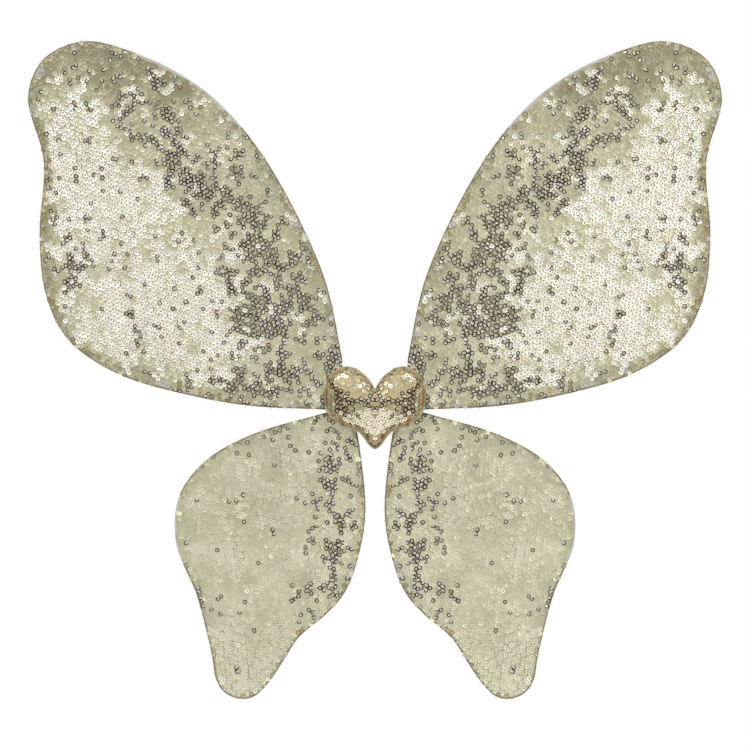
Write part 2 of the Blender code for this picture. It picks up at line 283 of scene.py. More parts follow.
net_cloth = woven("net_cloth", linear(170, 165, 137), linear(200, 195, 167), 900, bump=0.4, Sheen_Weight=0.2)
tan_cloth = woven("tan_cloth", linear(138, 112, 72), linear(186, 160, 114), 900, bump=0.4, Sheen_Weight=0.2)
lining_cloth = woven(
    "lining_cloth", linear(222, 218, 207), linear(236, 233, 224), 1400, roughness=0.5, bump=0.3,
    cloudy=220.0, Sheen_Weight=0.4,
)
grey_satin = woven(
    "grey_satin", linear(158, 160, 168), linear(206, 206, 212), 1300, roughness=0.42, bump=0.2,
    Sheen_Weight=0.3,
)
khaki_edge = woven("khaki_edge", linear(106, 98, 76), linear(154, 144, 112), 1000, roughness=0.7)
gold_thread = woven(
    "gold_thread", linear(150, 112, 60), linear(214, 182, 122), 2600, roughness=0.5, bump=0.5,
    cloudy=160.0,
)
heart_thread = woven(
    "heart_thread", linear(188, 171, 133), linear(228, 213, 175), 2600, roughness=0.5, bump=0.5,
    cloudy=160.0,
)
cream_thread = woven(
    "cream_thread", linear(196, 188, 166), linear(232, 226, 208), 2600, roughness=0.6, bump=0.4,
)
cotton_tape = woven("cotton_tape", linear(196, 188, 168), linear(230, 224, 208), 1500, roughness=0.85)
elastic = woven("elastic", linear(208, 203, 190), linear(240, 237, 228), 2000, roughness=0.7, bump=0.4)
felt = fibrous("felt", linear(196, 186, 160), linear(232, 224, 202), Sheen_Weight=0.3)
wadding = fibrous("wadding", linear(225, 225, 222), linear(250, 250, 248))
steel = brushed("steel", linear(150, 150, 150), linear(214, 214, 210), 0.35, 0.9, 700.0)

# Sequin coatings: sRGB colour and roughness. The cream coatings are painted highlights, the light the film
# mirrors painted as colour, and cream_shade is painted shade on their rims.
COATINGS = {
    "cream": ((254, 252, 236), 0.3),
    "cream_pink": ((254, 248, 238), 0.3),
    "cream_green": ((250, 252, 238), 0.3),
    "cream_shade": ((232, 228, 206), 0.3),
    "cream_warm": ((252, 243, 218), 0.3),
    "cream_khaki": ((240, 235, 208), 0.3),
    "khaki_1": ((158, 151, 123), 0.34),
    "khaki_2": ((174, 168, 140), 0.34),
    "khaki_3": ((188, 183, 152), 0.34),
    "khaki_4": ((198, 194, 163), 0.32),
    "khaki_5": ((206, 202, 172), 0.32),
    "khaki_6": ((214, 210, 181), 0.32),
    "khaki_7": ((226, 222, 194), 0.32),
    "khaki_lilac": ((204, 198, 179), 0.32),
    "khaki_green": ((198, 199, 169), 0.32),
    "khaki_warm": ((194, 182, 147), 0.5),
    "lilac": ((230, 222, 212), 0.3),
    "lavender": ((196, 192, 198), 0.4),
    "olive": ((146, 140, 104), 0.35),
    "tan": ((186, 170, 131), 0.5),
    "tan_deep": ((178, 158, 117), 0.35),
    # The two near-black coatings are painted dark reflections, not the film's own colour.
    "painted_dark": ((26, 20, 16), 0.3),
    "painted_dark_soft": ((86, 76, 62), 0.3),
    "amber": ((116, 90, 54), 0.4),
    "amber_soft": ((182, 150, 105), 0.35),
}
COATING_INDEX = {name: i for i, name in enumerate(COATINGS)}
coatings = []
for coating, (colour, dullness) in COATINGS.items():
    coatings.append(metallised("sequin_" + coating, linear(*colour), dullness))


# ---------------------------------------------------------------- meshes

def make_piece(name, verts, faces, materials, smooth=True, face_materials=None):
    """A piece from places in millimetres (x, depth, z)."""
    mesh = bpy.data.meshes.new(name)
    mesh.from_pydata([(x * MM, -d * MM, z * MM) for x, d, z in verts], [], faces)
    for material in materials:
        mesh.materials.append(material)
    if face_materials:
        mesh.polygons.foreach_set("material_index", face_materials)
    if smooth:
        mesh.shade_smooth()
    mesh.update()
    piece = bpy.data.objects.new(name, mesh)
    bpy.context.scene.collection.objects.link(piece)
    return piece


def flipped(verts, faces):
    """The mirror image across the middle."""
    return [(-x, d, z) for x, d, z in verts], [tuple(reversed(f)) for f in faces]


def sided(verts, faces, side):
    return (verts, faces) if side > 0 else flipped(verts, faces)


def swept(rings, closed):
    """Quads between rings of the same number of points."""
    size = len(rings[0])
    verts = [v for ring in rings for v in ring]
    faces = []
    for r in range(len(rings) if closed else len(rings) - 1):
        a = r * size
        b = (r + 1) % len(rings) * size
        faces += [(a + i, a + (i + 1) % size, b + (i + 1) % size, b + i) for i in range(size)]
    return verts, faces


def joined(parts):
    """Several (verts, faces) as one."""
    verts = []
    faces = []
    for more_verts, more_faces in parts:
        start = len(verts)
        verts += more_verts
        faces += [tuple(start + i for i in f) for f in more_faces]
    return verts, faces


# ---------------------------------------------------------------- outlines, from the CAD plates

def plate_loop(node):
    """The outline of a flat CAD plate, in order, as (x, z) in millimetres."""
    bm = bmesh.new()
    bm.from_mesh(frame["nodes"][node].data)
    bmesh.ops.remove_doubles(bm, verts=bm.verts, dist=1e-6)
    bm.normal_update()
    front = min(v.co.y for v in bm.verts)
    beside = {}
    for edge in bm.edges:
        on_front = all(abs(v.co.y - front) < 1e-6 for v in edge.verts)
        walls = [f for f in edge.link_faces if abs(f.normal.y) < 0.5]
        if on_front and len(walls) == 1:
            a, b = edge.verts
            beside.setdefault(a, []).append(b)
            beside.setdefault(b, []).append(a)
    start = next(iter(beside))
    loop = [start]
    here, before = beside[start][0], start
    while here is not start:
        loop.append(here)
        here, before = next(v for v in beside[here] if v is not before), here
    points = [Vector((v.co.x / MM, v.co.z / MM)) for v in loop]
    bm.free()
    return points


def opened(loop, is_cut):
    """A closed loop as an open run that starts and ends at its cut edge."""
    count = len(loop)
    for i in range(count):
        if is_cut(loop[i]) and is_cut(loop[(i + 1) % count]):
            return [loop[(i + 1 + k) % count] for k in range(count)]
    raise ValueError("no cut edge")


def catmull(p0, p1, p2, p3, t):
    k1 = math.sqrt((p1 - p0).length)
    k2 = k1 + math.sqrt((p2 - p1).length)
    k3 = k2 + math.sqrt((p3 - p2).length)
    s = k1 + (k2 - k1) * t
    a = p0.lerp(p1, s / k1)
    b = p1.lerp(p2, (s - k1) / (k2 - k1))
    c = p2.lerp(p3, (s - k2) / (k3 - k2))
    d = a.lerp(b, s / k2)
    e = b.lerp(c, (s - k1) / (k3 - k1))
    return d.lerp(e, (s - k1) / (k2 - k1))


def smooth_loop(points, step):
    """A closed smooth curve through the points, in equal steps."""
    count = len(points)
    dense = []
    for i in range(count):
        span = [points[(i + k) % count] for k in (-1, 0, 1, 2)]
        dense += [catmull(*span, t / 8) for t in range(8)]
    return even_steps(dense, step)


def even_steps(dense, step):
    run = dense + dense[:1]
    total = sum((b - a).length for a, b in zip(run, run[1:]))
    count = round(total / step)
    out = []
    done = 0.0
    for a, b in zip(run, run[1:]):
        length = (b - a).length
        while len(out) < count and total * len(out) / count <= done + length:
            out.append(a.lerp(b, (total * len(out) / count - done) / length))
        done += length
    return out


def area_of(loop):
    """Signed area: positive when the loop runs anticlockwise."""
    return sum(a.x * b.y - b.x * a.y for a, b in zip(loop, loop[1:] + loop[:1])) / 2


def inward(loop):
    """The unit normal into the shape at each point of an anticlockwise loop."""
    out = []
    for i, p in enumerate(loop):
        along = loop[(i + 1) % len(loop)] - loop[i - 1]
        out.append(Vector((-along.y, along.x)).normalized())
    return out


class Outline:
    """A closed curve with quick answers: how far in from the edge a point is, and where."""

    def __init__(self, loop):
        self.loop = loop if area_of(loop) > 0 else loop[::-1]
        self.normals = inward(self.loop)
        self.tree = kdtree.KDTree(len(self.loop))
        for i, p in enumerate(self.loop):
            self.tree.insert((p.x, p.y, 0), i)
        self.tree.balance()

    def depth_in(self, p):
        """Signed distance from the edge, positive inside, and the index of the nearest edge point."""
        _, i, distance = self.tree.find((p[0], p[1], 0))
        inside = (Vector(p) - self.loop[i]).dot(self.normals[i])
        if distance < 2.0:
            return inside, i
        return math.copysign(distance, inside), i

    def size(self):
        xs = [p.x for p in self.loop]
        zs = [p.y for p in self.loop]
        return min(xs), max(xs), min(zs), max(zs)


def hex_grid(box, pitch, jitter, rng):
    """Points of a loose hexagonal grid over a box."""
    low_x, high_x, low_z, high_z = box
    row = 0
    z = low_z
    while z <= high_z:
        x = low_x + (pitch / 2 if row % 2 else 0)
        while x <= high_x:
            yield (x + rng.uniform(-jitter, jitter), z + rng.uniform(-jitter, jitter))
            x += pitch
        z += pitch * math.sqrt(3) / 2
        row += 1


def filled(outline, rings, pitch, seed):
    """Points and triangles over an outline: its edge, rings just inside it and a loose grid."""
    rng = random.Random(seed)
    edge = outline.loop
    points = [tuple(p) for p in edge]
    for ring in rings:
        for p, n in zip(edge, outline.normals):
            q = p + n * ring
            if outline.depth_in(q)[0] > ring * 0.93:
                points.append(tuple(q))
    margin = rings[-1] + pitch * 0.6
    for q in hex_grid(outline.size(), pitch, pitch * 0.12, rng):
        if outline.depth_in(q)[0] > margin:
            points.append(q)
    count = len(edge)
    borders = [(i, (i + 1) % count) for i in range(count)]
    flat = [Vector(p) for p in points]
    made, _, faces, *_ = geometry.delaunay_2d_cdt(flat, borders, [], 1, 1e-4)
    return made, faces


def profile(table, value):
    """Smooth reading of a small (position, value) table."""
    if value <= table[0][0]:
        return table[0][1]
    for (a, x), (b, y) in zip(table, table[1:]):
        if value <= b:
            t = (value - a) / (b - a)
            return x + (y - x) * t * t * (3 - 2 * t)
    return table[-1][1]


def ramp01(value, low, high):
    t = min(1.0, max(0.0, (value - low) / (high - low)))
    return t * t * (3 - 2 * t)


# ---------------------------------------------------------------- sequins

SEQUIN_RADIUS = 1.6
SEQUIN_PITCH = 2.85
SEQUIN_JITTER = 0.46
SEQUIN_CUP = 0.11
SEQUIN_SIDES = 10
SEQUIN_LIFT = (0.1, 0.32)
SEQUIN_TILT = 0.045
ROW_TURN = 0.4
ROW_DRIFT = 3.2
ROW_DRIFT_SCALE = 32.0

# What each look of sequin is made of: (coating of the flat, coating of the rim, radius of the hole,
# where the rim starts, radius of the sequin).
LOOKS = {
    # Bright sequins are painted highlights with a painted-shade rim; pale sequins are softer painted
    # highlights.
    "bright": (
        ("cream", "cream_shade", 0.56, 1.3, 1.62), ("cream_pink", "cream_shade", 0.54, 1.3, 1.62),
        ("cream_green", "cream_shade", 0.56, 1.3, 1.62),
    ),
    "pale": (("cream_khaki", "khaki_6", 0.56, 1.15, 1.55), ("khaki_7", "khaki_5", 0.52, 1.2, 1.55)),
    # Dark sequins are painted dark reflections: a near-black rim round a lighter flat.
    "dark": (
        ("lilac", "painted_dark", 0.25, 0.8, 1.36), ("khaki_7", "painted_dark", 0.3, 0.76, 1.34),
        ("khaki_5", "painted_dark", 0.35, 0.84, 1.4), ("khaki_lilac", "painted_dark_soft", 0.35, 0.84, 1.4),
    ),
    # Edge sequins, deeper and olive: painted shade where the cloth rolls away over the wire.
    "edge": (
        ("tan_deep", "olive", 0.3, 0.9, 1.6), ("khaki_warm", "olive", 0.3, 0.9, 1.6),
        ("khaki_3", "khaki_1", 0.3, 0.9, 1.6), ("khaki_2", "olive", 0.3, 0.9, 1.6),
        ("khaki_2", "khaki_1", 0.3, 0.9, 1.6), ("khaki_1", "khaki_2", 0.3, 0.9, 1.6),
        ("khaki_3", "lavender", 0.3, 0.9, 1.6),
    ),
    "amber": (("khaki_lilac", "amber", 0.25, 0.7, 1.45),),
    # On the heart, heart_dark is a painted dark reflection, and heart_bright and heart_pale are painted
    # highlights.
    "heart_dark": (("khaki_warm", "painted_dark", 0.3, 0.78, 1.36), ("khaki_5", "painted_dark", 0.3, 0.78, 1.36)),
    "heart_bright": (("cream_warm", "cream_warm", 0.52, 1.0, 1.38),),
    "heart_pale": (("cream_khaki", "khaki_warm", 0.5, 1.1, 1.4),),
    "heart_plain": (
        ("tan", "khaki_warm", 0.3, 0.9, 1.5), ("khaki_2", "tan", 0.3, 0.9, 1.5),
        ("khaki_3", "khaki_2", 0.3, 0.9, 1.5), ("tan", "tan", 0.3, 1.0, 1.5),
    ),
    "heart_edge": (
        ("khaki_3", "tan", 0.25, 0.9, 1.5), ("tan", "tan_deep", 0.25, 0.9, 1.5),
        ("tan", "amber_soft", 0.25, 0.8, 1.5),
    ),
}
TONES = ["khaki_1", "khaki_2", "khaki_3", "khaki_4", "khaki_5", "khaki_6", "khaki_7"]
PLAIN_SIZES = (0.26, 0.95, 1.8)
TINT_AT = 1.15
# A painted dark rim shows as an open arc: the gap on its upper, outer side is a painted highlight, where the
# rim takes the flat's coating.
OPEN_RIMS = ("painted_dark", "painted_dark_soft")
OPEN_ARC = (False, True, True, False)
OPEN_MIDDLE = 72
OPEN_TOWARDS = math.radians(225 - OPEN_MIDDLE)
CLOSED_SHARE = 0.4
# How far a sequin stands proud of its neighbours, by the coating of its rim.
PROUD = {"painted_dark": 0.3, "painted_dark_soft": 0.3, "amber": 0.3, "cream_shade": 0.12, "cream_warm": 0.3}


def sequin(place, axis, look, rng):
    """Two rings of quads: a flat round the hole and a raised rim. Returns verts, faces, coatings."""
    flat, rim, hole, band, radius = look
    n = SEQUIN_SIDES
    side = (Vector((1, 0, 0)) - axis * axis.x).normalized()
    over = axis.cross(side)
    spin = rng.uniform(0, 2 * math.pi)
    coats = [flat] * n + [rim] * n
    # Most painted dark rims open towards the same side; the gap is a painted highlight.
    if rim in OPEN_RIMS and rng.random() > CLOSED_SHARE:
        spin = OPEN_TOWARDS + rng.gauss(0, 0.7)
        coats[n:n + len(OPEN_ARC)] = [flat if opened_here else "painted_dark_soft" for opened_here in OPEN_ARC]
    verts = []
    for reach, height in ((hole, 0.0), (band, 0.05), (radius, SEQUIN_CUP)):
        for i in range(SEQUIN_SIDES):
            angle = spin + 2 * math.pi * i / SEQUIN_SIDES
            out = side * math.cos(angle) + over * math.sin(angle)
            verts.append(place + out * reach + axis * height)
    faces = []
    for ring in range(2):
        a = ring * n
        faces += [(a + i, a + n + i, a + n + (i + 1) % n, a + (i + 1) % n) for i in range(n)]
    return verts, faces, [COATING_INDEX[coat] for coat in coats]


def scattered(box, pitch, rng):
    """A hexagonal grid over a box, turned, jittered and bent by slow noise, as sewn rows drift."""
    low_x, high_x, low_z, high_z = box
    middle = Vector(((low_x + high_x) / 2, (low_z + high_z) / 2))
    half = Vector((high_x - low_x, high_z - low_z)).length / 2 + ROW_DRIFT
    for u, v in hex_grid((-half, half, -half, half), pitch, SEQUIN_JITTER, rng):
        x = middle.x + u * math.cos(ROW_TURN) - v * math.sin(ROW_TURN)
        z = middle.y + u * math.sin(ROW_TURN) + v * math.cos(ROW_TURN)
        at = Vector((x, z, 0)) / ROW_DRIFT_SCALE
        yield (
            x + ROW_DRIFT * noise.noise(at + Vector((0, 0, 5.5))),
            z + ROW_DRIFT * noise.noise(at + Vector((0, 0, 9.5))),
        )


def clustered(x, z, scale, offset, rng, grain=0.6):
    """A random value with unit spread that is alike for near neighbours."""
    smooth = noise.noise(Vector((x / scale, z / scale, offset))) / 0.27
    return smooth * math.sqrt(1 - grain * grain) + rng.gauss(0, 1) * grain


def chosen(probability, value):
    """True for about that share of values with unit spread."""
    if probability <= 0:
        return False
    return value < NORMAL.inv_cdf(min(probability, 0.999))


def blob(x, z, at, spread):
    return math.exp(-(((x - at[0]) / spread[0]) ** 2 + ((z - at[1]) / spread[1]) ** 2) / 2)


def near_path(x, z, path, spread):
    """1 on a polyline, falling away on both sides."""
    p = Vector((x, z))
    nearest = min(
        (geometry.intersect_point_line(p, Vector(a), Vector(b)) + (a, b) for a, b in zip(path, path[1:])),
        key=lambda hit: (p - hit[0].to_2d()).length if 0 <= hit[1] <= 1 else 1e9,
    )
    ends = min((p - Vector(q)).length for q in path)
    distance = min(ends, (p - nearest[0].to_2d()).length if 0 <= nearest[1] <= 1 else 1e9)
    return math.exp(-((distance / spread) ** 2) / 2)


# Where the upper wing has painted highlights, painted dark reflections and painted shade: (share, place,
# spread).
UPPER_PAINTED_HIGHLIGHTS = (
    (0.95, (184, 148), (17, 22)), (0.75, (168, 112), (22, 24)), (0.95, (155, 48), (24, 17)),
    (0.6, (115, 75), (26, 22)), (0.45, (90, 42), (15, 24)), (0.5, (192, 187), (11, 9)),
    (0.4, (150, 132), (16, 12)), (0.4, (133, 206), (6, 3)), (0.4, (106, 189), (6, 3)),
    (0.3, (168, 25), (15, 8)), (0.3, (100, 22), (20, 12)),
)
UPPER_PAINTED_DARK_MAIN = ((128, 160), (122, 150), (106, 138), (76, 112), (58, 84), (52, 70))
UPPER_PAINTED_DARK_ROOT = ((74, 60), (58, 38), (56, 22), (72, 6))
UPPER_PAINTED_DARK_SIDE = ((24, 30), (24, 4))
UPPER_PAINTED_DARK = (
    (0.4, (75, 155), (8, 12)), (0.3, (88, 138), (9, 9)), (0.35, (122, 9), (8, 6)), (0.5, (188, 86), (8, 8)),
    (0.34, (146, 190), (17, 15)), (0.3, (84, 95), (13, 13)), (0.3, (80, 62), (12, 12)),
    (0.2, (88, 38), (13, 16)), (0.3, (80, 8), (12, 7)), (0.25, (32, 60), (8, 20)),
)
UPPER_PAINTED_SHADE = (
    (0.58, (164, 208), (30, 14)), (0.3, (128, 180), (26, 20)), (0.06, (42, 85), (14, 50)),
    (0.3, (211, 125), (8, 48)), (0.25, (198, 60), (8, 25)),
)
# Where the lower wing has painted dark reflections: a path, then (share, place, spread).
LOWER_PAINTED_DARK_MAIN = ((22, -14), (20, -30), (27, -60), (24, -88), (29, -110), (36, -124))
LOWER_PAINTED_DARK = ((0.25, (60, -18), (7, 7)), (0.2, (104, -118), (5, 5)))


def blobs(x, z, table):
    return sum(share * blob(x, z, at, spread) for share, at, spread in table)


# Each look's share on the upper wing: painted highlights where the light catches it, painted dark
# reflections in clusters and paths, painted shade towards the edge.
def upper_shares(x, z, inside):
    rim = 1 - ramp01(inside, 3.0, 14.0)
    lit = blobs(x, z, UPPER_PAINTED_HIGHLIGHTS) * ramp01(inside, 2.5, 10.0)
    dark = 0.045 + 0.7 * near_path(x, z, UPPER_PAINTED_DARK_MAIN, 9.0) + 0.68 * near_path(x, z, UPPER_PAINTED_DARK_ROOT, 7.5)
    dark += 0.55 * near_path(x, z, UPPER_PAINTED_DARK_SIDE, 7.0) + blobs(x, z, UPPER_PAINTED_DARK)
    # The tone is painted shade: deeper towards the edge and in the shade blobs.
    tone = 0.66 - 0.28 * rim - blobs(x, z, UPPER_PAINTED_SHADE)
    return {
        "dark": min(0.8, dark) * (1 - 0.3 * rim), "bright": min(0.95, 0.05 + lit),
        "pale": 0.09 + 0.3 * min(1.0, lit),
        "amber": 0.0008, "edge": 0.85 * (1 - ramp01(inside, 2.0, 5.0)), "tone": tone,
    }


# Each look's share on the lower wing: painted dark reflections along a path, softer painted highlights
# towards the tip, painted shade at the edge.
def lower_shares(x, z, inside):
    tip = ramp01(-z, 130, 160)
    rim = 1 - ramp01(inside, 2.0, 8.0)
    dark = 0.022 + 0.48 * near_path(x, z, LOWER_PAINTED_DARK_MAIN, 7.5) + blobs(x, z, LOWER_PAINTED_DARK)
    # The tone deepens towards the edge as painted shade; it is also darker towards the top and lighter at
    # the tip.
    tone = 0.78 - 0.1 * ramp01(z, -60, -20) - 0.2 * rim + 0.22 * tip
    return {
        "dark": dark * (1 - 0.8 * tip), "bright": 0.002 + 0.02 * tip, "pale": 0.2 + 0.72 * tip,
        "amber": 0.0008, "edge": 0.5 * (1 - ramp01(inside, 1.0, 3.5)), "tone": tone,
    }


def pick_look(shares, x, z, rng):
    dark = clustered(x, z, 6.0, 3.7, rng, 0.68)
    bright = clustered(x, z, 10.0, 11.2, rng, 0.5)
    drift = noise.noise(Vector((x / 11, z / 11, 20.5))) / 0.27
    if chosen(shares["amber"], rng.gauss(0, 1)):
        kind = "amber"
    elif chosen(shares["dark"], dark):
        kind = "dark"
    elif chosen(shares["edge"], rng.gauss(0, 1)):
        kind = "edge"
    elif chosen(shares["bright"], bright):
        kind = "bright"
    elif chosen(shares["bright"] + shares["pale"], bright):
        kind = "pale"
    elif "family" not in shares:
        return plain_look(shares["tone"], drift, x, z, rng)
    else:
        kind = "plain"
    looks = LOOKS[shares.get("family", "") + kind]
    order = int(NORMAL.cdf(drift * 0.8 + rng.gauss(0, 0.6)) * len(looks))
    return looks[min(order, len(looks) - 1)]


def plain_look(tone, drift, x, z, rng):
    """A sequin that only shows khaki: lighter or deeper with the tone, which carries painted shade,
    sometimes tinted.
    """
    slow = noise.noise(Vector((x / 16, z / 16, 40.5))) / 0.27
    level = tone * (len(TONES) - 1) + slow * 0.55 + rng.gauss(0, 0.25)
    level = min(len(TONES) - 1, max(0, round(level)))
    flat = rim = TONES[level]
    if 1 < level < 5 and abs(drift + rng.gauss(0, 0.3)) > TINT_AT:
        flat = "khaki_lilac" if drift > 0 else "khaki_green"
    elif rng.random() < 0.2:
        rim = TONES[min(len(TONES) - 1, level + 1)]
    return (flat, rim) + PLAIN_SIZES


def sequin_mesh(placed, seed, lift=SEQUIN_LIFT):
    """placed is a list of (place, axis, shares). Returns verts, faces and each face's coating."""
    rng = random.Random(seed)
    verts = []
    faces = []
    slots = []
    for place, axis, shares in placed:
        tilt = Vector([rng.gauss(0, SEQUIN_TILT) for _ in range(3)])
        lean = (axis + tilt).normalized()
        look = pick_look(shares, place.x, place.z, rng)
        raised = place + axis * (rng.uniform(*lift) + PROUD.get(look[1], 0.0))
        more, quads, coats = sequin(raised, lean, look, rng)
        start = len(verts)
        verts += [tuple(v) for v in more]
        faces += [tuple(start + i for i in f) for f in quads]
        slots += coats
    return verts, faces, slots


# ---------------------------------------------------------------- the wings

EDGE_STEP = 2.0
CLOTH_RINGS = (0.5, 1.2, 2.2, 4.0, 7.0)
CLOTH_PITCH = 5.0
ROOT_DEPTH = 9.1
FRONT_DEPTH = ((0.0, 6.6), (0.5, 8.0), (1.2, 8.7), (2.6, 9.0), (5.0, 8.9), (10.0, 8.7))
LINING_DEPTH = ((0.0, 6.4), (0.5, 5.2), (1.4, 4.8), (2.8, 4.7), (6.0, 5.5), (12.0, 6.1))
LINING_ROOT = 4.05
# Tension folds of the lining fan out from the middle of the wings.
FOLD_CENTRE = 4.0
FOLD_COUNT = 9.0
PUCKER_TURN = 0.575
PUCKER_HEIGHT = 0.22
CLOTH_THICK = 0.25
EDGE_TUCK = 0.4
SEAM = 5.0
BINDING_RADIUS = 1.0
EDGE_FLATTEN = 0.5
EDGE_LOOSE = 2.4
EDGE_LEAN = 0.28
STITCH_LENGTH = 2.4
STITCH_GAP = 1.1
STITCH_RADIUS = 0.22


class Wing:
    """One wing's outline, bend line and surfaces, for the right-hand side."""

    def __init__(self, level, shares, satin_edge):
        self.level = level
        self.shares = shares
        self.satin_edge = satin_edge
        joint = next(j for j in frame["joints"] if j["name"] == level + "_right_bend")
        self.normal = Vector((-joint["axis"][2], joint["axis"][0]))
        self.reach = Vector((joint["pos_m"][0], joint["pos_m"][2])).dot(self.normal) / MM
        beyond = opened(plate_loop(level + "_right_front_cloth"), lambda p: abs(self.past(p)) < 2)
        root = opened(plate_loop(level + "_right_root_cloth"), lambda p: abs(self.past(p)) < 2)
        if (beyond[-1] - root[0]).length > (beyond[-1] - root[-1]).length:
            root.reverse()
        self.outline = Outline(smooth_loop(beyond + root, EDGE_STEP))
        fine = Outline(smooth_loop(beyond + root, 0.5))
        self.depth_in = fine.depth_in
        self.area = abs(area_of(self.outline.loop))

    def past(self, p):
        """How far a point is beyond the bend line."""
        return Vector(p).dot(self.normal) - self.reach

    def front(self, p):
        """Depth of the front cloth's face."""
        inside, _ = self.depth_in(p)
        x, z = p
        wave = noise.noise(Vector((x / 46, z / 46, 1.5))) * 0.9
        wave += noise.noise(Vector((x / 15, z / 15, 7.5))) * 0.35
        calm = ramp01(inside, 3.0, 16.0) * ramp01(self.past(p), 0, 30)
        outer = profile(FRONT_DEPTH, inside) + wave * calm
        at_root = 1 - ramp01(self.past(p), -10, 14)
        held = profile(((0.0, 7.6), (1.2, 8.9), (3.0, ROOT_DEPTH)), inside)
        return outer + (held - outer) * at_root

    def back(self, p):
        """Depth of the lining's face."""
        inside, near = self.depth_in(p)
        x, z = p
        wave = noise.noise(Vector((x / 40, z / 40, 31.5))) * 0.5
        at_seam = (1 - ramp01(inside, 5.0, 16.0)) * ramp01(inside, 0.5, 4.0)
        pucker = math.sin(near * PUCKER_TURN) * PUCKER_HEIGHT * at_seam
        away = math.hypot(x, z + FOLD_CENTRE)
        turn = math.atan2(z + FOLD_CENTRE, x)
        fold = noise.noise(Vector((turn * FOLD_COUNT, away / 90, 55.5)))
        wave += fold * 0.9 * (1 - ramp01(away, 60, 190))
        calm = ramp01(inside, 4.0, 16.0)
        outer = profile(LINING_DEPTH, inside) + wave * calm + pucker
        at_root = 1 - ramp01(self.past(p), -6, 16)
        held = profile(((0.0, 5.4), (1.5, 4.2), (3.0, LINING_ROOT)), inside)
        return outer + (held - outer) * at_root

    def slope(self, p, surface, step=0.4):
        """Unit normal of a surface, towards the front."""
        x, z = p
        here = surface(p)
        dx = (surface((x + step, z)) - here) / step
        dz = (surface((x, z + step)) - here) / step
        limit = 3.0
        dx = max(-limit, min(limit, dx))
        dz = max(-limit, min(limit, dz))
        return Vector((-dx, 1.0, -dz)).normalized()


def bent(piece, side):
    """Bakes the piece's placement into its mesh."""
    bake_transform(piece)


def cut_size(wing):
    """Width, length and area of the cloth before sewing, in metres."""
    low_x, high_x, low_z, high_z = wing.outline.size()
    width = (high_x - low_x + 2 * SEAM) * MM
    length = (high_z - low_z + 2 * SEAM) * MM
    edge = len(wing.outline.loop) * EDGE_STEP
    return (width, length), (wing.area + edge * SEAM) * MM * MM


def tucked(outline, p):
    """A point of the cloth's cut edge, moved inside the rolled edge that hides it."""
    inside, near = outline.depth_in(tuple(p))
    return p + outline.normals[near] * EDGE_TUCK if inside < EDGE_TUCK / 2 else p


def cloth(name, wing, side, surface, rings, materials, seed):
    points, triangles = filled(wing.outline, rings, CLOTH_PITCH, seed)
    places = [tucked(wing.outline, p) for p in points]
    verts = [(q.x, surface(tuple(p)), q.y) for p, q in zip(points, places)]
    faces = [tuple(f) for f in triangles]
    verts, faces = sided(verts, faces, side)
    piece = make_piece(name, verts, faces, materials)
    thick = piece.modifiers.new("thickness", "SOLIDIFY")
    thick.thickness = CLOTH_THICK * MM
    thick.offset = 0
    bpy.context.view_layer.objects.active = piece
    with bpy.context.temp_override(object=piece):
        bpy.ops.object.modifier_apply(modifier="thickness")
    return piece


def stitch(place, along, out, length=STITCH_LENGTH, radius=STITCH_RADIUS):
    """One thread between two needle holes, as a bulging tube. Places are (x, depth, z) vectors."""
    across = along.cross(out).normalized()
    rings = []
    for t, swell in ((-0.5, 0.35), (-0.32, 0.95), (0.0, 1.0), (0.32, 0.95), (0.5, 0.35)):
        middle = place + along * (t * length) + out * (radius * (0.9 - 3.2 * t * t))
        ring = []
        for k in range(6):
            angle = math.pi * k / 3
            ring.append(tuple(middle + (across * math.cos(angle) + out * math.sin(angle)) * radius * swell))
        rings.append(ring)
    verts, faces = swept(rings, False)
    last = len(verts) - 6
    faces += [tuple(range(5, -1, -1)), tuple(last + k for k in range(6))]
    return verts, faces


def add_wing(wing, side, seed):
    label = f"{wing.level}_{'right' if side > 0 else 'left'}"
    flat, area = cut_size(wing)

    front = cloth(label + "_cloth", wing, side, wing.front, CLOTH_RINGS, [net_cloth], seed)
    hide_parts(label + "_front_cloth", label + "_root_cloth")

    lining = cloth(label + "_lining_cloth", wing, side, wing.back, CLOTH_RINGS, [lining_cloth], seed + 1)
    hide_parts(label + "_lining", label + "_root_lining")

    binding = add_binding(label, wing, side)
    fray = add_fray(label, wing, side, seed + 5)
    stitches = add_seam_stitches(label, wing, side)
    verts, faces, slots = sequin_mesh(wing_sequins(wing, seed), seed + 2)
    verts, faces = sided(verts, faces, side)
    sequins = make_piece(label + "_sequins", verts, faces, coatings, True, slots)

    for piece in (front, lining, binding, fray, stitches, sequins):
        bent(piece, side)


def wing_sequins(wing, seed):
    """Places, axes and shares for every sequin of a wing."""
    rng = random.Random(seed + 3)
    placed = []
    low_x, high_x, low_z, high_z = wing.outline.size()
    box = (low_x - 1, high_x + 1, low_z - 1, high_z + 1)
    for p in scattered(box, SEQUIN_PITCH, rng):
        inside, _ = wing.depth_in(p)
        margin = 2.0 if wing.satin_edge(p) else 1.0
        if inside < margin or heart_covers(p):
            continue
        depth = wing.front(p)
        axis = (wing.slope(p, wing.front) + Vector((0, EDGE_FLATTEN, 0))).normalized()
        if inside < EDGE_LOOSE:
            axis += Vector([rng.gauss(0, EDGE_LEAN) for _ in range(3)])
            axis.normalize()
        place = Vector((p[0], depth + CLOTH_THICK / 2, p[1]))
        placed.append((place, axis, wing.shares(p[0], p[1], inside)))
    return placed


